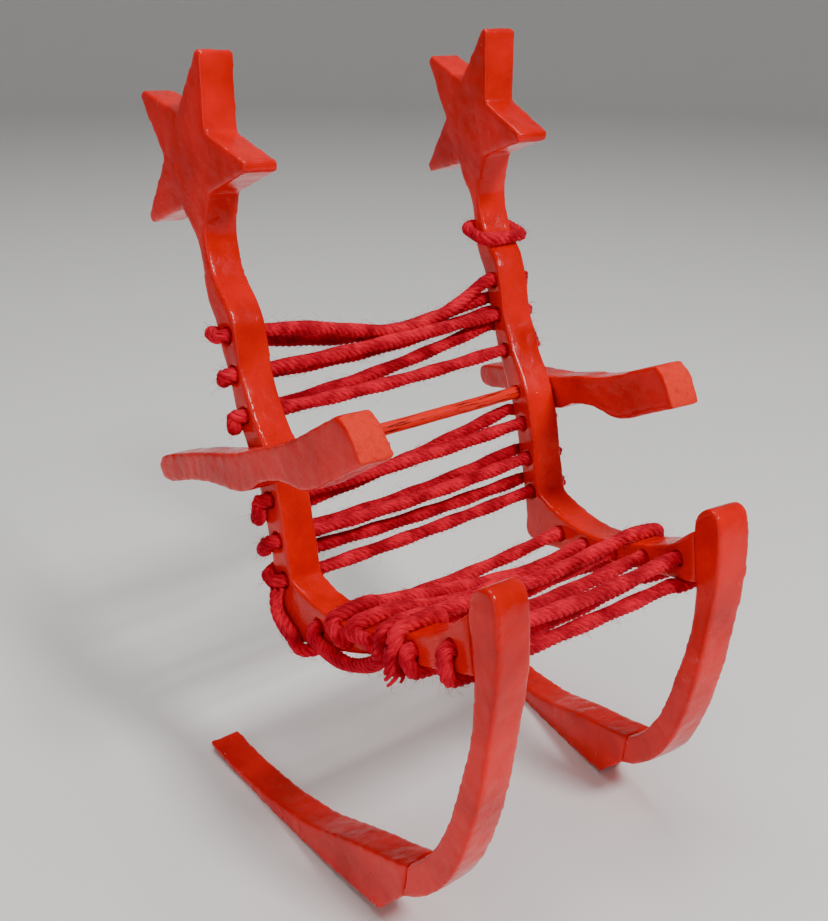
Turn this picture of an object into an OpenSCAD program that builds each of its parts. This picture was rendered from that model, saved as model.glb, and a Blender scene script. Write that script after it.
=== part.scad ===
// Miniature rocking chair: two sawn side frames with star finials, joined by a dowel and
// laced together with yarn. The armrests turn on the ends of the dowel.
// X runs across the chair, -Y is the front, +Z is up. The floor is Z = 0, and the
// origin is on the floor under the middle of the chair.

/* [Boards] */
// Thickness of the board that each side frame is sawn from
board_t = 6.5; // [5.5:0.1:7]
// Thickness of the board that each armrest is sawn from
arm_t = 6.2; // [5.6:0.1:7]
// Distance between the middle planes of the side frames at the rocker heels
frame_gap = 57; // [50:1:64]

/* [Stance] */
// Turn of each side frame, so that the chair is wider at the back
splay = 5.5; // [4:0.1:7]
// Lean of the top of the left frame towards the right one
lean_left = 3.5; // [2.5:0.1:4]
// Lean of the top of the right frame towards the left one
lean_right = 1.1; // [0.5:0.1:2]
// Pitch of the right frame forward, and of the left frame back
twist = 1.45; // [0.5:0.05:2]
// Distance that each frame stands off the middle line, the left one forward
stagger = 3; // [1:0.5:4]

/* [Rockers] */
// Radius of the rocker's sole
sole_r = 271; // [240:1:320]
// Length of the rocker behind its heel
sole_len = 57; // [54:1:60]
// Depth sanded flat on the sole, where the chair stands
sole_trim = 0.22; // [0.18:0.01:0.3]

/* [Stars] */
// Radius of the star over its tips
star_ro = 18.7; // [17:0.1:19.5]
// Radius of the star at its notches
star_ri = 8.4; // [8:0.1:9]
// Turn of the left star towards the front
star_turn_left = 14.5; // [14:0.5:17]
// Turn of the right star towards the front
star_turn_right = 17; // [14:0.5:17]
// Width of the blunt end of each arm
star_tip = 1.6; // [1:0.1:2.4]

/* [Armrests] */
// Diameter of the dowel through both posts
dowel_d = 2.5; // [2.2:0.1:2.7]
// Radial clearance of the armrest bores on the dowel
fit = 0.05; // [0.02:0.01:0.08]
// Rise of the left armrest towards the front
arm_tilt_left = 24; // [22:0.5:26]
// Rise of the right armrest towards the front
arm_tilt_right = 19.5; // [18:0.5:22]
// Height that the left armrest stands on its dowel above the right one's
arm_rise_left = 1.2; // [0.5:0.1:1.4]
// Gap between each armrest and the outer face of its post
arm_gap = 0.3; // [0.25:0.05:0.4]

/* [Yarn] */
// Diameter of the yarn
yarn_d = 2.2; // [1.8:0.1:2.3]
// Diameter of the lacing holes
hole_d = 2.8; // [2.6:0.1:3]

/* [Hidden] */
$fn = 48;
LEFT = -1;
RIGHT = 1;
eps = 0.01;
// Half width and depth of the block that trims the soles, larger than the chair
floor_half = 150;
floor_depth = 10;
// Shift that puts the origin under the middle of the chair
origin_x = -1.13;
origin_y = -25.875;
paint = [0.86, 0.05, 0.04];
yarn_red = [0.78, 0.02, 0.08];

// Side-frame outlines are [back, up] in the frame's own plane, from its rocker heel.
sole_mid = 28;
star_c_left = [59.5, 119.2];
star_c_right = [59, 120.1];
seat_corner = [26.8, 52.6];
joint_high = [-16.5, 66.5];
joint_low = [-18.6, 57.5];
foot_high = [-6.6, 15.6];
foot_low = [-6, 8.8];
dowel_at = [37.2, 71.2];
arm_bore_depth = 4.4;
dowel_in_arm = 4;

// Lacing holes down each post and along each seat rail
post_holes = [[47.2, 91.5], [45.2, 85], [41.8, 78.5], [34, 65.5], [31.5, 58.7], [29.6, 52]];
rail_holes = [[19, 47.6], [11, 49.1], [3, 52], [-5.5, 55.4], [-13.6, 59.6]];
// Slack of each yarn between the frames: [strand through the holes, returning strand]
post_sag = [[5.8, 3], [0.3, 1.2], [0.6, 1], [0.5, 0.8], [0.6, 1], [0.3, 0.6]];
rail_sag = [[1, 1.4], [1.2, 1], [1, 1.2], [0.9, 1.4], [1, 0.3]];
// How far each strand's lowest point lies to the left: 1 is the middle
post_skew = [1.5, 1, 1, 1, 1, 1];
// Step down from a hole to where the yarn goes round the back of the post, on the outer
// side and on the inner side
left_drop = [[0.4, 2.4], [1.4, 1.4], [2.4, 0.6], [3.7, 3.4], [2.2, 1], [0.2, -2.2]];
right_drop = [[3.4, 4.4], [0.4, 0.4], [-3, -3.7], [0.6, -1.2], [0.2, -0.2], [-0.6, -1]];
// Where each seat yarn crosses the rail, and whether over it (1) or under it (-1)
left_cross = [[0.2, 1], [13.5, 1], [8, 1], [-6.7, -1], [-14.8, -1]];
right_cross = [[-0.4, 1], [14.5, -1], [6.5, -1], [-6.7, -1], [-14.8, -1]];
// Long run of the first seat yarn on the outer faces: [back, up, distance off the lane]
left_run = [[17.8, 46.2, 0], [14, 45.7, 0], [9, 46.2, 0], [4, 48.4, 0], [0.6, 51.2, 0]];
right_run = [[17.8, 45.6, 0.6], [14.5, 44, 2.4], [9, 44.4, 2.4], [3.6, 47.4, 2.2],
    [0, 51.2, 0.3]];
// Distance of the yarn's centre from a face it lies on
lane = yarn_d / 2 + 0.15;

function unit(v) = v / norm(v);
function rot_x(p, a) = [p.x, p.y * cos(a) - p.z * sin(a), p.y * sin(a) + p.z * cos(a)];
function rot_y(p, a) = [p.x * cos(a) + p.z * sin(a), p.y, p.z * cos(a) - p.x * sin(a)];
function rot_z(p, a) = [p.x * cos(a) - p.y * sin(a), p.x * sin(a) + p.y * cos(a), p.z];
function lean(side) = side == LEFT ? lean_left : lean_right;
// Height of a frame's heel that stands its curved sole on the floor
function heel_z(side) = cos(lean(side)) * (sole_r * (1 - cos(twist))
    - side * sole_mid * sin(twist)) - sole_trim;
function frame_at(side) = [side * frame_gap / 2 + origin_x, side * stagger + origin_y,
    heel_z(side)];
function frame_turn(side) = [side * twist, -side * lean(side), -side * splay];
function turned(side, p) = rot_z(rot_y(rot_x(p, side * twist), -side * lean(side)),
    -side * splay);
// Point of the chair from a frame's own [inward, back, up]
function on_frame(side, p) = frame_at(side) + turned(side, [-side * p.x, p.y, p.z]);

// Smooth curve through points, with n steps in each span
function curve_pt(a, b, c, d, t) = 0.5 * (2 * b + (c - a) * t
    + (2 * a - 5 * b + 4 * c - d) * t * t + (3 * b - a - 3 * c + d) * t * t * t);
function curve(p, n = 4) = [for (i = [0 : len(p) - 2], k = [0 : n - 1])
    curve_pt(p[max(i - 1, 0)], p[i], p[i + 1], p[min(i + 2, len(p) - 1)], k / n),
    p[len(p) - 1]];
function tail(p) = [for (i = [1 : len(p) - 1]) p[i]];

// Star corners, counted from the top tip towards the front: even ones are tips
function star_angle(side, k) = (side == LEFT ? star_turn_left : star_turn_right) + 36 * k;
function star_c(side) = side == LEFT ? star_c_left : star_c_right;
function star_corner(side, k) = let (a = star_angle(side, k))
    star_c(side) + (k % 2 == 0 ? star_ro : star_ri) * [-sin(a), cos(a)];
function star_end(side, k) = let (a = star_angle(side, k), c = star_corner(side, k),
    w = star_tip / 2 * [cos(a), sin(a)]) [c + w, c - w];

function post_front(side) = curve([star_corner(side, 3), [53.7, 107.5], [51.2, 101],
    [46.2, 96], [44, 91], [42.4, 85.5], [38.2, 78.5], [33.2, 72.3], [30.5, 65.5],
    [28.6, 58.5], seat_corner]);
rail_top = curve([seat_corner, [21, 51.4], [12, 51.6], [4, 53.8], [-4.5, 57.6],
    [-11, 61], [-14, 64], joint_high]);
rail_low = curve([joint_low, [-13, 55.4], [-5, 52.6], [4, 49.5], [12, 46.2], [20, 43.6],
    [27, 41.4], [30.2, 42]]);
function post_rear(side) = curve([[30.6, 43], [31, 47], [32.6, 53], [34.8, 60],
    [37.4, 66.5], [40.8, 72.5], [44.6, 78.5], [46.6, 84], [49.2, 88.5], [50.5, 92.5],
    [53.4, 96.5], [54.9, 101.5], [56.8, 106.2], [59.4, 109], star_corner(side, 5)]);
leg_front = curve([joint_high, [-17, 69.8], [-19.3, 71.8], [-21.6, 71], [-22.9, 66.5],
    [-23.5, 59.5], [-22.9, 49], [-21.6, 37], [-18.6, 24.7], [-14.8, 16.8], [-9.6, 11.2],
    foot_low]);
leg_rear = curve([foot_high, [-9.8, 18.8], [-12.6, 23.3], [-15.2, 29.3], [-17.4, 38.8],
    [-18.9, 47.5], [-18.9, 54], joint_low]);
rocker_top = curve([foot_high, [0, 13.1], [8, 10.4], [14, 8], [20, 5.7], [27, 4.1],
    [35, 2.9], [44, 2.4], [sole_len, 2.8]]);
function sole(y) = [y, sole_r - sqrt(sole_r * sole_r - (y - sole_mid) * (y - sole_mid))];
rocker_sole = [for (k = [0 : 16]) sole(sole_len + (0.3 - sole_len) * k / 16)];
// Armrest outline from its pivot: [forward, up]
arm_outline = concat(
    curve([[-24.4, 1.8], [-23.6, 3.6], [-21, 4.2], [-12, 3.6], [-4.7, 2.8], [3.7, 1.8],
        [9, 1.7], [13, 1.8], [18.5, 1.6], [24.5, 2], [30.5, 2.9], [37, 3.8]]),
    [[38.6, 1.9], [39.6, -0.5], [40.3, -3.8]],
    curve([[35, -4.7], [30, -5.6], [26.2, -6.2], [22.5, -6], [19.4, -5], [16.6, -4.2],
        [13, -3.8], [9.5, -4], [7, -4.6], [4.8, -4.9], [0.9, -4.3], [-3.9, -3],
        [-9, -1.9], [-14.6, -1.2], [-20.6, -0.9], [-23.6, 0]]));

// Dowel line, and the armrest's middle on it
dowel_l = on_frame(LEFT, [0, dowel_at.x, dowel_at.y]);
dowel_r = on_frame(RIGHT, [0, dowel_at.x, dowel_at.y]);
dowel_dir = unit(dowel_r - dowel_l);
function along(side, out) = let (c = dowel_dir * turned(side, [1, 0, 0]))
    (side == LEFT ? dowel_l : dowel_r) + side * dowel_dir * out / c;
arm_mid_out = board_t / 2 + arm_gap + arm_t / 2;
arm_face_out = board_t / 2 + arm_gap;

module in_frame(side) {
    translate(frame_at(side)) rotate(frame_turn(side)) children();
}

// A board of an outline [back, up], square to X and centred on it
module board(outline, t) {
    rotate([90, 0, 90]) translate([0, 0, -t / 2]) linear_extrude(t) polygon(outline);
}

module rod(a, b, d) {
    v = b - a;
    translate(a)
        rotate([0, acos(v.z / norm(v)), atan2(v.y, v.x)])
            cylinder(d = d, h = norm(v));
}

module bores(holes, d) {
    for (h = holes)
        translate([0, h.x, h.y]) rotate([0, 90, 0])
            cylinder(d = d, h = board_t + 2, center = true);
}

module sanded_to_floor() {
    difference() {
        children();
        translate([-floor_half, -floor_half, -floor_depth])
            cube([2 * floor_half, 2 * floor_half, floor_depth]);
    }
}

// Star finial, back post and seat rail, sawn in one piece
module back_post(side) {
    color(paint)
    difference() {
        in_frame(side) difference() {
            board(concat(post_front(side), tail(rail_top), rail_low, post_rear(side),
                star_end(side, 6), [star_corner(side, 7)],
                star_end(side, 8), [star_corner(side, 9)],
                star_end(side, 10), [star_corner(side, 11)], star_end(side, 12)), board_t);
            bores(post_holes, hole_d);
            bores(rail_holes, hole_d);
        }
        rod(along(side, -board_t), along(side, board_t), dowel_d + 2 * eps);
    }
}

// Knob and curved front leg, butted on the seat rail and the rocker
module front_leg(side) {
    color(paint)
    in_frame(side) board(concat(leg_front, leg_rear), board_t);
}

// Wedge-shaped rocker with a curved sole
module rocker(side) {
    color(paint)
    sanded_to_floor() in_frame(side)
        board(concat([foot_low], rocker_top, rocker_sole), board_t);
}

// Scalloped armrest with a blind bore for the dowel's end
module armrest(side, tilt, rise) {
    color(paint)
    difference() {
        translate(along(side, arm_mid_out)) rotate(frame_turn(side)) rotate([-tilt, 0, 0])
            board([for (p = arm_outline) [-p.x, p.y + rise]], arm_t);
        rod(along(side, 0), along(side, arm_face_out + arm_bore_depth), dowel_d + 2 * fit);
    }
}

module armrest_dowel() {
    color(paint)
    rod(along(LEFT, arm_face_out + dowel_in_arm), along(RIGHT, arm_face_out + dowel_in_arm),
        dowel_d);
}

// Direction across the tube at each point, carried along the route without twisting
function carry(t, u, i = 0) = let (v = unit(u - t[i] * (t[i] * u)))
    i == len(t) - 1 ? [v] : concat([v], carry(t, v, i + 1));

// Round tube along a route
module tube(route, d, closed = true) {
    n = len(route);
    sides = 8;
    t = [for (i = [0 : n - 1])
        unit((closed ? route[(i + 1) % n] : route[min(i + 1, n - 1)])
            - (closed ? route[(i + n - 1) % n] : route[max(i - 1, 0)]))];
    u = carry(t, cross(t[0], [0.3, 0.2, 0.9]));
    back = u[n - 1] - t[0] * (t[0] * u[n - 1]);
    off = closed ? atan2(back * cross(t[0], u[0]), back * u[0]) : 0;
    rings = [for (i = [0 : n - 1], k = [0 : sides - 1])
        let (a = 360 * k / sides - off * i / n)
        route[i] + d / 2 * (cos(a) * u[i] + sin(a) * cross(t[i], u[i]))];
    spans = closed ? n : n - 1;
    walls = [for (i = [0 : spans - 1], k = [0 : sides - 1])
        let (j = (i + 1) % n, m = (k + 1) % sides)
        each [[i * sides + k, j * sides + k, i * sides + m],
            [i * sides + m, j * sides + k, j * sides + m]]];
    ends = closed ? [] : [[for (k = [0 : sides - 1]) k],
        [for (k = [sides - 1 : -1 : 0]) (n - 1) * sides + k]];
    polyhedron(rings, concat(walls, ends), convexity = 6);
}

// Outer face of a board, and the start of a yarn from inside its hole h
outer = -board_t / 2;
function out_of(h) = [[1.6 - outer, h.x, h.y], [0, h.x, h.y], [outer - 0.5, h.x, h.y]];
// Yarn on one post, from inside the hole h round the back edge to the inside again
function post_wrap(side, h, drop) = let (z = h.y - drop[0], w = h.y - drop[1],
    edge = [for (p = post_rear(side)) [p.y, p.x]], e = lookup(z, edge), f = lookup(w, edge))
    concat(out_of(h), [[outer - lane, h.x + 1.1, h.y - 0.4 * sign(drop[0])],
        [outer - lane, e - 0.4, z + 0.3 * sign(drop[0])], [outer - 0.4, e + 0.9, z],
        [0, (e + f) / 2 + lane, (z + w) / 2], [-outer, f + lane, w], [2 - outer, f + 0.8, w]]);
// Yarn on one rail, from inside the hole h over or under the rail to the inside again
function rail_wrap(h, cross_at, run) = let (y = cross_at[0], way = cross_at[1],
    e = way > 0 ? lookup(-y, [for (p = rail_top) [-p.x, p.y]])
        : lookup(y, [for (p = rail_low) [p.x, p.y]]), s = sign(y - h.x))
    concat(out_of(h),
        run == [] ? [[outer - lane, h.x + 0.3 * s, h.y + way * 1.1]]
            : [for (p = run) [outer - lane - p.z, p.x, p.y]],
        [[outer - lane, y - 0.2 * s, e - way * 0.4], [outer - 0.4, y, e + way * 0.9],
        [0, y, e + way * lane], [-outer, y, e + way * lane], [2 - outer, y, e + way * 0.8]]);
// Points of a strand that hangs slack from the left point to the right one
function slack(a, b, sag, skew) = [for (k = [1 : 4]) let (t = k / 5)
    a + (b - a) * t - [0, 0, sag * sin(180 * pow(t, skew))]];
// Closed loop of yarn through both frames
function laced(wl, wr, sag, skew) = let (n = len(wl) - 1, m = len(wr) - 1,
    l = [for (p = wl) on_frame(LEFT, p)], r = [for (p = wr) on_frame(RIGHT, p)],
    q = slack(l[0], r[0], sag[0], skew))
    concat(l, slack(l[n], r[m], sag[1], 1), [for (k = [m : -1 : 0]) r[k]],
        [for (k = [3 : -1 : 0]) q[k]]);

module back_yarn(k) {
    h = post_holes[k];
    color(yarn_red)
    tube(laced(post_wrap(LEFT, h, left_drop[k]), post_wrap(RIGHT, h, right_drop[k]),
        post_sag[k], post_skew[k]), yarn_d);
}

module seat_yarn(k) {
    h = rail_holes[k];
    color(yarn_red)
    tube(laced(rail_wrap(h, left_cross[k], k == 0 ? left_run : []),
        rail_wrap(h, right_cross[k], k == 0 ? right_run : []), rail_sag[k], 1), yarn_d);
}

// Run on the left frame's outer face from the last post hole to under the seat rail
module link_yarn() {
    o = outer - lane;
    route = [for (p = [[o, 29.4, 49.6], [o, 29.8, 47.8], [o, 29, 46], [o, 26.9, 44.6],
        [o, 24.8, 43.7], [o + 0.3, 23.2, 42], [-3, 22.3, 41.5], [0, 21.4, 41.7],
        [3, 20.8, 42]]) on_frame(LEFT, p)];
    color(yarn_red) tube(route, yarn_d, closed = false);
}

// Yarn tied round the left seat rail, with a short frayed tail
module rail_knot_yarn() {
    x = board_t / 2 + lane;
    y = -2.9;
    ring = [for (p = [[x, 53.8], [x, 56.6], [x - 1, 57.9], [0, 58.3], [1 - x, 57.9],
        [-x, 56.6], [-x, 53.8], [-x, 51.7], [1 - x, 50.7], [0, 50.4], [x - 1, 50.7],
        [x, 51.7]]) on_frame(LEFT, [p.x, y, p.y])];
    end = [for (p = [[-x - 0.4, y, 55], [-x - 1, y - 0.4, 53.6], [-x - 1, y - 1, 52],
        [-x - 0.6, y - 1.5, 50.6]]) on_frame(LEFT, p)];
    color(yarn_red) union() {
        tube(ring, yarn_d);
        tube(end, yarn_d, closed = false);
    }
}

// Yarn tied round the slanting neck of the right post
module post_tie_yarn() {
    x = board_t / 2 + lane;
    f = 48.2;
    b = 55.9;
    half = [[x, 51.8, 99.8], [x, b - 1.3, 100.2], [x - 0.37, b - 0.37, 100.4],
        [x - lane, b, 100.5], [0, b, 100.5]];
    front = [[x, f + 1.9, 99.7], [x - 0.3, f + 0.8, 99.7], [x - lane, f + 0.1, 99.7],
        [0, f, 99.7]];
    ring = concat(half, [for (k = [3 : -1 : 0]) [-half[k].x, half[k].y, half[k].z]],
        [for (p = front) [-p.x, p.y, p.z]], [for (k = [2 : -1 : 0]) front[k]]);
    color(yarn_red) tube([for (p = ring) on_frame(RIGHT, p)], yarn_d);
}

back_post(LEFT);  // left_back_post
back_post(RIGHT);  // right_back_post
front_leg(LEFT);  // left_front_leg
front_leg(RIGHT);  // right_front_leg
rocker(LEFT);  // left_rocker
rocker(RIGHT);  // right_rocker
armrest_dowel();
armrest(LEFT, arm_tilt_left, arm_rise_left);  // left_armrest
armrest(RIGHT, arm_tilt_right, 0);  // right_armrest
back_yarn(0);  // back_yarn_1
back_yarn(1);  // back_yarn_2
back_yarn(2);  // back_yarn_3
back_yarn(3);  // back_yarn_4
back_yarn(4);  // back_yarn_5
back_yarn(5);  // back_yarn_6
seat_yarn(0);  // seat_yarn_1
seat_yarn(1);  // seat_yarn_2
seat_yarn(2);  // seat_yarn_3
seat_yarn(3);  // seat_yarn_4
seat_yarn(4);  // seat_yarn_5
link_yarn();
rail_knot_yarn();
post_tie_yarn();
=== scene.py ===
"""Miniature rocking chair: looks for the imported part. Metres, +Z up, the CAD's own frame."""

import math

import bpy
import numpy as np
from mathutils import Matrix, Vector, noise


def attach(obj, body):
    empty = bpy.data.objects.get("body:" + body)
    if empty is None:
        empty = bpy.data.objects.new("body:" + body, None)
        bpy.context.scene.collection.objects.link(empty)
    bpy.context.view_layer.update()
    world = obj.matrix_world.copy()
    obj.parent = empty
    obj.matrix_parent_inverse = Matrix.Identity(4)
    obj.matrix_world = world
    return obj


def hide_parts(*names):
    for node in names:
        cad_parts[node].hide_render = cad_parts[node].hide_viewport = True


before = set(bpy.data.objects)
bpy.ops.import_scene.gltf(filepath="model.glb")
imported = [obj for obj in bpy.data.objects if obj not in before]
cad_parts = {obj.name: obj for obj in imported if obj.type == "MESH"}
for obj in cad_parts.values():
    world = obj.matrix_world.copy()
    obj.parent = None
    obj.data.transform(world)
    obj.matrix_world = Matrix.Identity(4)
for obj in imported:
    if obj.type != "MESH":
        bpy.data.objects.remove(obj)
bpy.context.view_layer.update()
SEED = 7
rng = np.random.default_rng(SEED)
MM = 0.001

# ---------------------------------------------------------------- CAD dimensions, in mm
BOARD_T = 6.5
FRAME_GAP = 57.0
SPLAY, TWIST = 5.5, 1.45
LEAN = {-1: 3.5, 1: 1.1}
STAGGER = 3.0
SOLE_R, SOLE_MID, SOLE_TRIM = 271.0, 28.0, 0.22
ORIGIN_X, ORIGIN_Y = -1.13, -25.875
ARM_T, ARM_GAP = 6.2, 0.3
ARM_TILT = {-1: 24.0, 1: 19.5}
DOWEL_D = 2.5
DOWEL_AT = (37.2, 71.2)
DOWEL_IN_ARM = 4.0
YARN_D = 2.2
LANE = YARN_D / 2 + 0.15
LEFT, RIGHT = -1, 1
OUTER_ARM = -(BOARD_T / 2 + ARM_GAP + ARM_T / 2)
POST_HOLES = [(47.2, 91.5), (45.2, 85), (41.8, 78.5), (34, 65.5), (31.5, 58.7), (29.6, 52)]
RAIL_HOLES = [(19, 47.6), (11, 49.1), (3, 52), (-5.5, 55.4), (-13.6, 59.6)]
POST_SAG = [(5.8, 3), (0.3, 1.2), (0.6, 1), (0.5, 0.8), (0.6, 1), (0.3, 0.6)]
RAIL_SAG = [(1, 1.4), (1.2, 1), (1, 1.2), (0.9, 1.4), (1, 0.3)]
POST_SKEW = [1.5, 1, 1, 1, 1, 1]
DROP = {-1: [(0.4, 2.4), (1.4, 1.4), (2.4, 0.6), (3.7, 3.4), (2.2, 1), (0.2, -2.2)],
        1: [(3.4, 4.4), (0.4, 0.4), (-3, -3.7), (0.6, -1.2), (0.2, -0.2), (-0.6, -1)]}
CROSS = {-1: [(0.2, 1), (13.5, 1), (8, 1), (-6.7, -1), (-14.8, -1)],
         1: [(-0.4, 1), (14.5, -1), (6.5, -1), (-6.7, -1), (-14.8, -1)]}
RUN = {-1: [(17.8, 46.2, 0), (14, 45.7, 0), (9, 46.2, 0), (4, 48.4, 0), (0.6, 51.2, 0)],
       1: [(17.8, 45.6, 0.6), (14.5, 44, 2.4), (9, 44.4, 2.4), (3.6, 47.4, 2.2),
           (0, 51.2, 0.3)]}
# Back edge of the post and top and bottom edges of the rail: [back, up]
POST_REAR = [(30.6, 43), (31, 47), (32.6, 53), (34.8, 60), (37.4, 66.5), (40.8, 72.5),
             (44.6, 78.5), (46.6, 84), (49.2, 88.5), (50.5, 92.5), (53.4, 96.5),
             (54.9, 101.5)]
RAIL_TOP = [(26.8, 52.6), (21, 51.4), (12, 51.6), (4, 53.8), (-4.5, 57.6), (-11, 61),
            (-14, 64), (-16.5, 66.5)]
RAIL_LOW = [(-18.6, 57.5), (-13, 55.4), (-5, 52.6), (4, 49.5), (12, 46.2), (20, 43.6),
            (27, 41.4), (30.2, 42)]


def turn(side):
    """Rotation of a side frame."""
    return (Matrix.Rotation(math.radians(-side * SPLAY), 3, "Z")
            @ Matrix.Rotation(math.radians(-side * LEAN[side]), 3, "Y")
            @ Matrix.Rotation(math.radians(side * TWIST), 3, "X"))


def frame_at(side):
    """Place of a side frame's rocker heel."""
    tw, ln = math.radians(TWIST), math.radians(LEAN[side])
    heel = math.cos(ln) * (SOLE_R * (1 - math.cos(tw)) - side * SOLE_MID * math.sin(tw))
    return Vector((side * FRAME_GAP / 2 + ORIGIN_X, side * STAGGER + ORIGIN_Y,
                   heel - SOLE_TRIM))


def on_frame(side, inward, back, up):
    """Point of the chair, in metres, from a frame's own mm."""
    return (frame_at(side) + turn(side) @ Vector((-side * inward, back, up))) * MM


def edge_at(points, key, axis):
    """Value of the other axis where a drawn edge crosses key."""
    pts = sorted(points, key=lambda p: p[axis])
    return float(np.interp(key, [p[axis] for p in pts], [p[1 - axis] for p in pts]))


# ---------------------------------------------------------------- mesh helpers
def smooth_path(points, step, closed):
    """Even points along a centripetal-like Catmull-Rom curve through the route."""
    p = np.array([tuple(q) for q in points], float)
    n = len(p)
    spans = n if closed else n - 1
    out = []
    for i in range(spans):
        if closed:
            a, b, c, d = p[(i - 1) % n], p[i], p[(i + 1) % n], p[(i + 2) % n]
        else:
            a, b, c, d = p[max(i - 1, 0)], p[i], p[i + 1], p[min(i + 2, n - 1)]
        k = max(2, int(np.linalg.norm(c - b) / step * 2))
        t = np.linspace(0, 1, k, endpoint=False)[:, None]
        # tension keeps the long spans from bowing at the short bends
        m = 0.5 * min(1.0, 2 * np.linalg.norm(b - a) / (np.linalg.norm(c - b) + 1e-9))
        w = 0.5 * min(1.0, 2 * np.linalg.norm(d - c) / (np.linalg.norm(c - b) + 1e-9))
        m0, m1 = (c - a) * m, (d - b) * w
        out.append((2 * t**3 - 3 * t**2 + 1) * b + (t**3 - 2 * t**2 + t) * m0
                   + (-2 * t**3 + 3 * t**2) * c + (t**3 - t**2) * m1)
    pts = np.vstack(out + ([] if closed else [p[-1:]]))
    loop = np.vstack([pts, pts[:1]]) if closed else pts
    s = np.concatenate([[0], np.cumsum(np.linalg.norm(np.diff(loop, axis=0), axis=1))])
    m = max(4, int(round(s[-1] / step)))
    at = np.linspace(0, s[-1], m, endpoint=not closed)
    return np.column_stack([np.interp(at, s, loop[:, k]) for k in range(3)]), s[-1]


def carried_frames(path, closed):
    """Tangent and two normals at each point, carried along the path without twisting."""
    if closed:
        t = np.roll(path, -1, axis=0) - np.roll(path, 1, axis=0)
    else:
        t = np.gradient(path, axis=0)
    t /= np.linalg.norm(t, axis=1)[:, None]
    u = np.empty_like(t)
    v = np.cross(t[0], (0.3, 0.2, 0.93))
    for i in range(len(t)):
        v = v - t[i] * v.dot(t[i])
        v /= np.linalg.norm(v)
        u[i] = v
    w = np.cross(t, u)
    if closed:
        end = u[-1] - t[0] * u[-1].dot(t[0])
        off = math.atan2(end.dot(w[0]), end.dot(u[0]))
        a = -off * np.arange(len(t)) / len(t)
        u, w = (u * np.cos(a)[:, None] + w * np.sin(a)[:, None],
                w * np.cos(a)[:, None] - u * np.sin(a)[:, None])
    return t, u, w


class Soup:
    """Verts, quads and uv of many swept tubes, made into one mesh."""

    def __init__(self):
        self.verts, self.quads, self.uvs, self.count = [], [], [], 0

    def tube(self, path, radius, sides, closed, length):
        t, u, w = carried_frames(path, closed)
        r = np.broadcast_to(np.asarray(radius, float), (len(path),))
        a = 2 * math.pi * np.arange(sides) / sides
        ring = (u[:, None, :] * np.cos(a)[None, :, None]
                + w[:, None, :] * np.sin(a)[None, :, None]) * r[:, None, None]
        v = (path[:, None, :] + ring).reshape(-1, 3)
        n = len(path)
        rows = n if closed else n - 1
        i, k = np.meshgrid(np.arange(rows), np.arange(sides), indexing="ij")
        j, m = (i + 1) % n, (k + 1) % sides
        q = np.stack([i * sides + k, j * sides + k, j * sides + m, i * sides + m], -1)
        s0, s1 = i / n * length, (i + 1) / n * length
        a0, a1 = k / sides, (k + 1) / sides
        uv = np.stack([np.stack([s0, a0], -1), np.stack([s1, a0], -1),
                       np.stack([s1, a1], -1), np.stack([s0, a1], -1)], -2)
        self.verts.append(v)
        self.quads.append(q.reshape(-1, 4) + self.count)
        self.uvs.append(uv.reshape(-1, 2))
        self.count += len(v)

    def mesh(self, name):
        verts = np.vstack(self.verts)
        quads = np.vstack(self.quads)
        me = bpy.data.meshes.new(name)
        me.vertices.add(len(verts))
        me.vertices.foreach_set("co", verts.astype(np.float32).ravel())
        me.loops.add(quads.size)
        me.loops.foreach_set("vertex_index", quads.astype(np.int32).ravel())
        me.polygons.add(len(quads))
        me.polygons.foreach_set("loop_start", np.arange(0, quads.size, 4, dtype=np.int32))
        layer = me.uv_layers.new(name="along")
        layer.data.foreach_set("uv", np.vstack(self.uvs).astype(np.float32).ravel())
        me.update(calc_edges=True)
        me.polygons.foreach_set("use_smooth", np.ones(len(quads), bool))
        return me


def add_piece(name, me, material, body, node):
    o = bpy.data.objects.new(name, me)
    bpy.context.scene.collection.objects.link(o)
    me.materials.clear()
    me.materials.append(material)
    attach(o, body)
    if node:
        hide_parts(node)
    return o


# ---------------------------------------------------------------- materials
def node_material(name):
    m = bpy.data.materials.new(name)
    m.use_nodes = True
    t = m.node_tree
    return m, t, t.nodes["Principled BSDF"]


def tex_noise(t, coord, scale, detail=3.0, rough=0.5):
    n = t.nodes.new("ShaderNodeTexNoise")
    n.inputs["Scale"].default_value = scale
    n.inputs["Detail"].default_value = detail
    n.inputs["Roughness"].default_value = rough
    t.links.new(coord, n.inputs["Vector"])
    return n.outputs["Fac"]


def ramp(t, fac, stops):
    n = t.nodes.new("ShaderNodeValToRGB")
    e = n.color_ramp.elements
    e[0].position, e[0].color = stops[0][0], stops[0][1]
    e[1].position, e[1].color = stops[-1][0], stops[-1][1]
    for pos, col in stops[1:-1]:
        x = e.new(pos)
        x.color = col
    t.links.new(fac, n.inputs["Fac"])
    return n.outputs["Color"]


def grey(v):
    return (v, v, v, 1)


def bump(t, height, strength, distance, below=None):
    n = t.nodes.new("ShaderNodeBump")
    n.inputs["Strength"].default_value = strength
    n.inputs["Distance"].default_value = distance
    t.links.new(height, n.inputs["Height"])
    if below is not None:
        t.links.new(below, n.inputs["Normal"])
    return n.outputs["Normal"]


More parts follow.
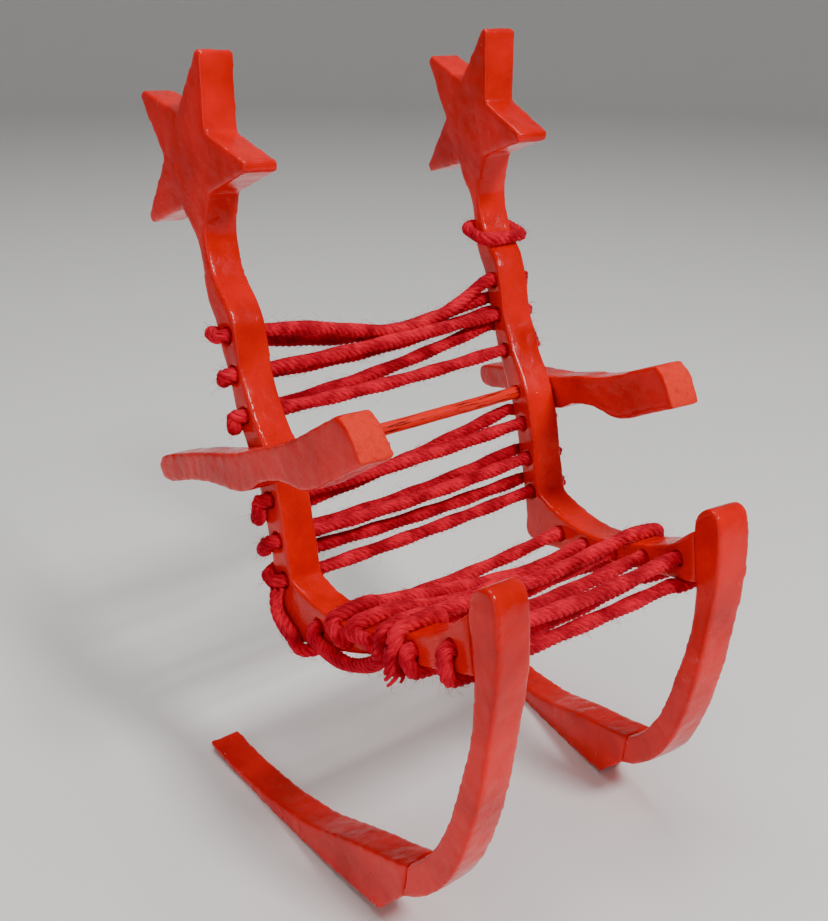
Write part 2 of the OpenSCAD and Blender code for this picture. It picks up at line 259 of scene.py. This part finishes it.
def enamel(name, base, dark):
    """Thick brushed enamel: runs, lumps, pinholes and dust under a glossy skin."""
    m, t, p = node_material(name)
    pos = t.nodes.new("ShaderNodeTexCoord").outputs["Object"]
    blotch = ramp(t, tex_noise(t, pos, 90, 4), [(0.3, (*dark, 1)), (0.62, (*base, 1))])
    t.links.new(blotch, p.inputs["Base Color"])
    gloss = ramp(t, tex_noise(t, pos, 260, 3), [(0.35, grey(0.13)), (0.7, grey(0.3))])
    t.links.new(gloss, p.inputs["Roughness"])
    p.inputs["Specular IOR Level"].default_value = 0.22
    p.inputs["Coat Weight"].default_value = 0.1
    p.inputs["Coat Roughness"].default_value = 0.09
    lumps = tex_noise(t, pos, 420, 4, 0.6)
    n1 = bump(t, lumps, 0.35, 0.0004)
    v = t.nodes.new("ShaderNodeTexVoronoi")
    v.inputs["Scale"].default_value = 640
    t.links.new(pos, v.inputs["Vector"])
    pits = ramp(t, v.outputs["Distance"], [(0.02, grey(0)), (0.14, grey(1))])
    keep = ramp(t, tex_noise(t, pos, 210, 2), [(0.56, grey(1)), (0.63, grey(0))])
    mix = t.nodes.new("ShaderNodeMix")
    mix.data_type = "FLOAT"
    t.links.new(keep, mix.inputs[0])
    t.links.new(pits, mix.inputs[2])
    mix.inputs[3].default_value = 1.0
    grit = bump(t, tex_noise(t, pos, 1500, 3, 0.6), 0.3, 0.00015, n1)
    n2 = bump(t, mix.outputs[0], 0.6, 0.0003, grit)
    t.links.new(n2, p.inputs["Normal"])
    return m


def end_grain_enamel(name, base, dark):
    """Thin enamel soaked into end grain: rough, pitted and more orange."""
    m, t, p = node_material(name)
    pos = t.nodes.new("ShaderNodeTexCoord").outputs["Object"]
    mottle = tex_noise(t, pos, 900, 6, 0.7)
    t.links.new(ramp(t, mottle, [(0.3, (*dark, 1)), (0.5, (*base, 1))]),
                p.inputs["Base Color"])
    p.inputs["Roughness"].default_value = 0.42
    p.inputs["Specular IOR Level"].default_value = 0.2
    t.links.new(bump(t, mottle, 0.9, 0.0004), p.inputs["Normal"])
    return m


def cracked_enamel(name, base, wood):
    """Enamel on a round dowel, split along its length down to bare bamboo."""
    m, t, p = node_material(name)
    pos = t.nodes.new("ShaderNodeTexCoord").outputs["UV"]
    mp = t.nodes.new("ShaderNodeMapping")
    mp.inputs["Scale"].default_value = (60, 7, 1)
    t.links.new(pos, mp.inputs["Vector"])
    streak = tex_noise(t, mp.outputs["Vector"], 2.2, 6, 0.65)
    crack = ramp(t, streak, [(0.42, grey(1)), (0.45, grey(0))])
    mix = t.nodes.new("ShaderNodeMix")
    mix.data_type = "RGBA"
    t.links.new(crack, mix.inputs[0])
    mix.inputs[6].default_value = (*base, 1)
    mix.inputs[7].default_value = (*wood, 1)
    t.links.new(mix.outputs[2], p.inputs["Base Color"])
    p.inputs["Roughness"].default_value = 0.28
    p.inputs["Specular IOR Level"].default_value = 0.25
    t.links.new(bump(t, streak, 0.6, 0.0002), p.inputs["Normal"])
    return m


def wool(name, light, dark):
    """One ply of wool: fine fibres laid along it, matt, with a soft sheen."""
    m, t, p = node_material(name)
    uv = t.nodes.new("ShaderNodeTexCoord").outputs["UV"]
    mp = t.nodes.new("ShaderNodeMapping")
    mp.inputs["Scale"].default_value = (700, 9, 1)
    mp.inputs["Rotation"].default_value = (0, 0, 0.35)
    t.links.new(uv, mp.inputs["Vector"])
    fibre = tex_noise(t, mp.outputs["Vector"], 1.4, 4, 0.6)
    pos = t.nodes.new("ShaderNodeTexCoord").outputs["Object"]
    patch = tex_noise(t, pos, 240, 2)
    mul = t.nodes.new("ShaderNodeMath")
    mul.operation = "MULTIPLY"
    t.links.new(fibre, mul.inputs[0])
    t.links.new(patch, mul.inputs[1])
    col = ramp(t, mul.outputs[0], [(0.16, (*dark, 1)), (0.34, (*light, 1))])
    t.links.new(col, p.inputs["Base Color"])
    p.inputs["Roughness"].default_value = 0.85
    p.inputs["Specular IOR Level"].default_value = 0.15
    p.inputs["Sheen Weight"].default_value = 0.3
    p.inputs["Sheen Roughness"].default_value = 0.4
    p.inputs["Sheen Tint"].default_value = (1.0, 0.12, 0.16, 1)
    p.inputs["Subsurface Weight"].default_value = 0.08
    p.inputs["Subsurface Radius"].default_value = (0.0012, 0.0002, 0.0002)
    t.links.new(bump(t, fibre, 0.8, 0.0002), p.inputs["Normal"])
    return m


RED = (0.80, 0.0006, 0.0003)
RED_DARK = (0.52, 0.0003, 0.0002)
board_paint = enamel("board_enamel", RED, RED_DARK)
end_paint = end_grain_enamel("end_enamel", (0.84, 0.024, 0.007), (0.66, 0.008, 0.003))
dowel_paint = cracked_enamel("dowel_enamel", (0.80, 0.012, 0.004), (0.10, 0.004, 0.003))
yarn_wool = wool("yarn_wool", (0.80, 0.001, 0.030), (0.34, 0.0003, 0.010))

# ---------------------------------------------------------------- boards
VOXEL = 0.34 * MM
# Smoothing passes that round the sawn edges, and how far a point may move
ROUNDING = 12
ROUND_LIMIT = 0.32 * MM
# Paint lumps, broad and fine: (height in mm, noise scale)
LUMPS_BROAD = (0.10, 150.0)
LUMPS_FINE = (0.07, 480.0)
# How squarely a face looks forward to count as end grain, and how far along the arm it is
END_FACING = 0.55
END_FROM = 35 * MM


def mesh_coords(me):
    co = np.empty(len(me.vertices) * 3, np.float32)
    me.vertices.foreach_get("co", co)
    return co.reshape(-1, 3)


def painted_board(node, body, end_grain=None):
    """The CAD board with its sawn edges rounded and swollen by lumpy paint."""
    tmp = bpy.data.objects.new(node + "_tmp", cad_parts[node].data.copy())
    bpy.context.scene.collection.objects.link(tmp)
    remesh = tmp.modifiers.new("remesh", "REMESH")
    remesh.mode = "VOXEL"
    remesh.voxel_size = VOXEL
    sharp = bpy.data.meshes.new_from_object(
        tmp.evaluated_get(bpy.context.evaluated_depsgraph_get()))
    soft = tmp.modifiers.new("soft", "SMOOTH")
    soft.factor = 0.5
    soft.iterations = ROUNDING
    me = bpy.data.meshes.new_from_object(
        tmp.evaluated_get(bpy.context.evaluated_depsgraph_get()))
    bpy.data.objects.remove(tmp)
    me.name = node + "_painted"
    was, co = mesh_coords(sharp), mesh_coords(me)
    bpy.data.meshes.remove(sharp)
    move = co - was
    far = np.linalg.norm(move, axis=1)[:, None]
    co = was + move * np.minimum(1, ROUND_LIMIT / np.maximum(far, 1e-9))
    no = np.empty(len(co) * 3, np.float32)
    me.vertices.foreach_get("normal", no)
    no = no.reshape(-1, 3)
    lumps = np.array([LUMPS_BROAD[0] * noise.noise(Vector(c) * LUMPS_BROAD[1])
                      + LUMPS_FINE[0] * noise.noise(Vector(c) * LUMPS_FINE[1])
                      for c in co.tolist()]) * MM
    co = co + no * lumps[:, None]
    co[:, 2] = np.maximum(co[:, 2], 0.0)
    me.vertices.foreach_set("co", co.astype(np.float32).ravel())
    me.polygons.foreach_set("use_smooth", np.ones(len(me.polygons), bool))
    me.update()
    add_piece(node + "_look", me, board_paint, body, node)
    if end_grain:
        at, ahead = end_grain
        me.materials.append(end_paint)
        for p in me.polygons:
            if p.normal.dot(ahead) > END_FACING and (p.center - at).dot(ahead) > END_FROM:
                p.material_index = 1


for side, key in ((LEFT, "left"), (RIGHT, "right")):
    for part in ("back_post", "front_leg", "rocker"):
        painted_board(f"{key}_{part}", "chair")
    tilt = math.radians(ARM_TILT[side])
    ahead = turn(side) @ Vector((0, -math.cos(tilt), math.sin(tilt)))
    painted_board(f"{key}_armrest", f"{key}_arm",
                  (on_frame(side, OUTER_ARM, *DOWEL_AT), ahead))


# ---------------------------------------------------------------- dowel
DOWEL_POINTS = 120
DOWEL_SIDES = 20
DOWEL_WOBBLE = 0.05 * MM


def dowel_piece(name, a, b, node):
    """A bamboo dowel, a little crooked and uneven, with rounded ends."""
    a, b = np.array(a), np.array(b)
    t = np.linspace(0, 1, DOWEL_POINTS)
    path = a + (b - a) * t[:, None]
    wob = np.array([[noise.noise(Vector((x * 9, k * 7.7, 1.3))) for k in range(3)]
                    for x in t])
    path += wob * DOWEL_WOBBLE * np.sin(math.pi * t)[:, None]
    r = DOWEL_D / 2 * MM * (1 + 0.03 * np.array([noise.noise(Vector((x * 30, 5, 2)))
                                                 for x in t]) - 0.02)
    r[[0, -1]] *= 0.05
    r[[1, -2]] *= 0.8
    path[1], path[-2] = path[0], path[-1]
    path[0] = path[0] + (path[2] - path[0]) * 0.01
    s = Soup()
    s.tube(path, r, DOWEL_SIDES, False, float(np.linalg.norm(b - a)))
    return add_piece(name, s.mesh(name), dowel_paint, "chair", node)


dl = on_frame(LEFT, 0, *DOWEL_AT)
dr = on_frame(RIGHT, 0, *DOWEL_AT)
axis = (dr - dl).normalized()
reach = (BOARD_T / 2 + ARM_GAP + DOWEL_IN_ARM) * MM
ends = {}
for side, mid in ((LEFT, dl), (RIGHT, dr)):
    c = axis.dot(turn(side) @ Vector((1, 0, 0)))
    ends[side] = mid + side * axis * reach / c
dowel_piece("armrest_dowel_look", ends[LEFT], ends[RIGHT], "armrest_dowel")

# ---------------------------------------------------------------- yarn
PLIES = 5
# Radius of a ply and its distance from the yarn's middle
PLY_R = 0.56
PLY_OFF = 0.74
PLY_SIDES = 9
TWIST_PITCH = 6.0
STEP = 0.3
# Thick and thin stretches along the yarn: how much, and how long each is, in metres
SWELL = 0.07
SWELL_LENGTH = 0.011
# Stray fibres: radii and distance of the root from the yarn's middle, in mm
HAIRS_PER_MM = 8
HAIR_POINTS = 5
HAIR_SIDES = 3
HAIR_R, HAIR_TIP_R = 0.024, 0.012
HAIR_ROOT = 0.9

OUTER = -BOARD_T / 2


def out_of(hole):
    """Start of a yarn, from inside its hole to the outer face."""
    return [(1.6 - OUTER, *hole), (0, *hole), (OUTER - 0.5, *hole)]


def post_wrap(hole, drop):
    """Yarn on one post: out of the hole, round the back edge, and in again."""
    y, z = hole[1] - drop[0], hole[1] - drop[1]
    e, f = edge_at(POST_REAR, y, 1), edge_at(POST_REAR, z, 1)
    s = 0.0 if drop[0] == 0 else math.copysign(1, drop[0])
    return out_of(hole) + [
        (OUTER - LANE, hole[0] + 1.1, hole[1] - 0.4 * s), (OUTER - LANE, e - 0.4, y + 0.3 * s),
        (OUTER - 0.4, e + 0.9, y), (0, (e + f) / 2 + LANE, (y + z) / 2),
        (-OUTER, f + LANE, z), (2 - OUTER, f + 0.8, z)]


def rail_wrap(hole, crossing, run):
    """Yarn on one rail: out of the hole, over or under the rail, and in again."""
    y, way = crossing
    e = edge_at(RAIL_TOP if way > 0 else RAIL_LOW, y, 0)
    s = math.copysign(1, y - hole[0])
    face = [(OUTER - LANE - p[2], p[0], p[1]) for p in run] or [
        (OUTER - LANE, hole[0] + 0.3 * s, hole[1] + way * 1.1)]
    return out_of(hole) + face + [
        (OUTER - LANE, y - 0.2 * s, e - way * 0.4), (OUTER - 0.4, y, e + way * 0.9),
        (0, y, e + way * LANE), (-OUTER, y, e + way * LANE), (2 - OUTER, y, e + way * 0.8)]


def slack_points(a, b, sag, skew):
    """Points of a strand that hangs slack from the left point to the right one."""
    return [a + (b - a) * t - Vector((0, 0, sag * MM * math.sin(math.pi * t**skew)))
            for t in (0.2, 0.4, 0.6, 0.8)]


def laced(wrap_l, wrap_r, sag, skew):
    left = [on_frame(LEFT, *p) for p in wrap_l]
    right = [on_frame(RIGHT, *p) for p in wrap_r]
    return (left + slack_points(left[-1], right[-1], sag[1], 1) + right[::-1]
            + slack_points(left[0], right[0], sag[0], skew)[::-1])


def plied(soup, route, closed=True, fuzz=1.0, fray=0.0):
    """Twisted plies along a route, with stray fibres standing off them."""
    path, length = smooth_path(route, STEP * MM, closed)
    t, u, w = carried_frames(path, closed)
    n = len(path)
    turns = max(1, round(length / (TWIST_PITCH * MM)))
    s = np.arange(n) / (n if closed else n - 1)
    phase0 = rng.uniform(0, 2 * math.pi)
    waves = s * round(length / SWELL_LENGTH) + rng.uniform()
    swell = 1 + SWELL * np.sin(2 * math.pi * waves)
    for k in range(PLIES):
        a = phase0 + 2 * math.pi * (s * turns + k / PLIES)
        off = PLY_OFF * MM * swell
        rad = PLY_R * MM * swell
        if fray:
            open_out = np.clip((s - (1 - fray)) / fray, 0, 1)
            off = off * (1 + 1.6 * open_out)
            rad = rad * (1 - 0.55 * open_out)
        c = path + off[:, None] * (u * np.cos(a)[:, None] + w * np.sin(a)[:, None])
        soup.tube(c, rad, PLY_SIDES, closed, length)
    hairs = int(length / MM * HAIRS_PER_MM * fuzz)
    for _ in range(hairs):
        i = int(rng.integers(0, n))
        a = rng.uniform(0, 2 * math.pi)
        out = u[i] * math.cos(a) + w[i] * math.sin(a)
        along = t[i] * rng.choice((-1, 1))
        reach_out = rng.gamma(1.8, 0.3) * MM
        run = rng.uniform(0.8, 3.4) * MM
        curl = rng.normal(0, 0.5, 3) * MM
        p0 = path[i] + out * HAIR_ROOT * MM
        k = np.linspace(0, 1, HAIR_POINTS)[:, None]
        hair = (p0 + along * run * k + out * reach_out * np.sin(k * rng.uniform(1.2, 3.0))
                + curl * k**2)
        taper = np.linspace(HAIR_R, HAIR_TIP_R, HAIR_POINTS) * MM
        soup.tube(hair, taper, HAIR_SIDES, False, run)


def yarn_piece(name, node, routes):
    soup = Soup()
    for r in routes:
        plied(soup, **r)
    return add_piece(name, soup.mesh(name), yarn_wool, "chair", node)


for k, hole in enumerate(POST_HOLES):
    route = laced(post_wrap(hole, DROP[LEFT][k]), post_wrap(hole, DROP[RIGHT][k]),
                  POST_SAG[k], POST_SKEW[k])
    yarn_piece(f"back_yarn_{k + 1}_look", f"back_yarn_{k + 1}", [dict(route=route)])
for k, hole in enumerate(RAIL_HOLES):
    route = laced(rail_wrap(hole, CROSS[LEFT][k], RUN[LEFT] if k == 0 else []),
                  rail_wrap(hole, CROSS[RIGHT][k], RUN[RIGHT] if k == 0 else []),
                  RAIL_SAG[k], 1)
    yarn_piece(f"seat_yarn_{k + 1}_look", f"seat_yarn_{k + 1}", [dict(route=route)])

lane_x = OUTER - LANE
link = [on_frame(LEFT, *p) for p in
        ((lane_x + 0.2, 29.6, 51), (lane_x, 29.8, 49.4), (lane_x, 29.8, 47.8), (lane_x, 29, 46),
         (lane_x, 26.9, 44.6), (lane_x, 24.8, 43.7), (lane_x + 0.3, 23.2, 42), (-3, 22.3, 41.5),
         (0, 21.4, 41.7), (3, 20.8, 42))]
yarn_piece("link_yarn_look", "link_yarn", [dict(route=link, closed=False)])

x = BOARD_T / 2 + LANE  # a yarn lying on either face
KNOT_Y = -2.9
knot_ring = [(x, 53.8), (x, 56.6), (x - 1, 57.9), (0, 58.3), (1 - x, 57.9), (-x, 56.6),
             (-x, 53.8), (-x, 51.7), (1 - x, 50.7), (0, 50.4), (x - 1, 50.7), (x, 51.7)]
knot_tail = [(-x - 0.4, KNOT_Y, 55), (-x - 1, KNOT_Y - 0.4, 53.6),
             (-x - 1, KNOT_Y - 1, 52), (-x - 0.6, KNOT_Y - 1.5, 50.6)]
yarn_piece("rail_knot_yarn_look", "rail_knot_yarn",
           [dict(route=[on_frame(LEFT, p[0], KNOT_Y, p[1]) for p in knot_ring]),
            dict(route=[on_frame(LEFT, *p) for p in knot_tail], closed=False, fuzz=3,
                 fray=0.5)])
neck_front, neck_back = 48.2, 55.9
tie_back = [(x, 51.8, 99.8), (x, neck_back - 1.3, 100.2), (x - 0.37, neck_back - 0.37, 100.4),
            (x - LANE, neck_back, 100.5), (0, neck_back, 100.5)]
tie_front = [(x, neck_front + 1.9, 99.7), (x - 0.3, neck_front + 0.8, 99.7),
             (x - LANE, neck_front + 0.1, 99.7), (0, neck_front, 99.7)]
tie_ring = (tie_back + [(-p[0], p[1], p[2]) for p in tie_back[3::-1]]
            + [(-p[0], p[1], p[2]) for p in tie_front] + tie_front[2::-1])
yarn_piece("post_tie_yarn_look", "post_tie_yarn",
           [dict(route=[on_frame(RIGHT, *p) for p in tie_ring])])

# ---------------------------------------------------------------- stage, light, camera
floor_mat, _, fp = node_material("floor")
fp.inputs["Base Color"].default_value = (0.86, 0.85, 0.83, 1)
fp.inputs["Roughness"].default_value = 0.75
FLAT_R, BEND_R, WALL_TOP, FLOOR_SIDES = 1.1, 0.5, 2.2, 96
profile = [(0.02, 0.0), (FLAT_R, 0.0)]
profile += [(FLAT_R + BEND_R * math.sin(a), BEND_R * (1 - math.cos(a)))
            for a in np.linspace(0.1, math.pi / 2, 12)]
profile.append((FLAT_R + BEND_R, WALL_TOP))
verts = [(0, 0, 0)] + [(r * math.cos(a), r * math.sin(a), z) for r, z in profile
                       for a in 2 * math.pi * np.arange(FLOOR_SIDES) / FLOOR_SIDES]
faces = [(0, 1 + k, 1 + (k + 1) % FLOOR_SIDES) for k in range(FLOOR_SIDES)]
for i in range(len(profile) - 1):
    for k in range(FLOOR_SIDES):
        p0, m = 1 + i * FLOOR_SIDES, (k + 1) % FLOOR_SIDES
        faces.append((p0 + k, p0 + FLOOR_SIDES + k, p0 + FLOOR_SIDES + m, p0 + m))
floor_mesh = bpy.data.meshes.new("floor")
floor_mesh.from_pydata(verts, [], faces)
floor_mesh.polygons.foreach_set("use_smooth", [True] * len(faces))
floor_mesh.materials.append(floor_mat)
floor = bpy.data.objects.new("floor", floor_mesh)
bpy.context.scene.collection.objects.link(floor)

world = bpy.data.worlds.new("studio")
bpy.context.scene.world = world
world.use_nodes = True
bg = world.node_tree.nodes["Background"]
bg.inputs["Color"].default_value = (0.9, 0.92, 0.95, 1)
bg.inputs["Strength"].default_value = 0.15


def softbox(name, at, aim, size, power, colour=(1, 1, 1)):
    light = bpy.data.lights.new(name, "AREA")
    light.shape = "RECTANGLE"
    light.size, light.size_y = size
    light.energy = power
    light.color = colour
    o = bpy.data.objects.new(name, light)
    o.location = at
    o.rotation_euler = (Vector(aim) - Vector(at)).to_track_quat("-Z", "Y").to_euler()
    bpy.context.scene.collection.objects.link(o)


softbox("key", (0.10, -0.42, 0.55), (0, 0, 0.06), (0.12, 0.10), 3.2)
softbox("top", (0.0, 0.15, 0.75), (0, 0, 0.06), (0.5, 0.4), 2.8)
softbox("fill", (-0.6, -0.25, 0.25), (0, 0, 0.07), (0.5, 0.5), 1.0)

cam = bpy.data.cameras.new("camera")
cam.sensor_fit = "HORIZONTAL"
SENSOR = 36
cam.sensor_width = SENSOR
# Picture size, and the lens and its middle in the same units
IMAGE_W, IMAGE_H = 828, 921
FOCAL, CX, CY = 1087.3, 417.6, 457.4
cam.lens = FOCAL / IMAGE_W * SENSOR
cam.shift_x = -(CX - IMAGE_W / 2) / IMAGE_W
cam.shift_y = (CY - IMAGE_H / 2) / IMAGE_W
cam.clip_start = 0.01
cam_obj = bpy.data.objects.new("camera", cam)
bpy.context.scene.collection.objects.link(cam_obj)
right = Vector((0.82839, -0.56001, 0.01283))
down = Vector((-0.223, -0.35071, -0.90955))
ahead = Vector((0.51386, 0.7506, -0.4154))
rot = Matrix((right, -down, -ahead)).transposed()
place = Matrix.Translation(Vector((-105.44, -145.15, 149.82)) * MM)
cam_obj.matrix_world = place @ rot.to_4x4()
bpy.context.scene.camera = cam_obj
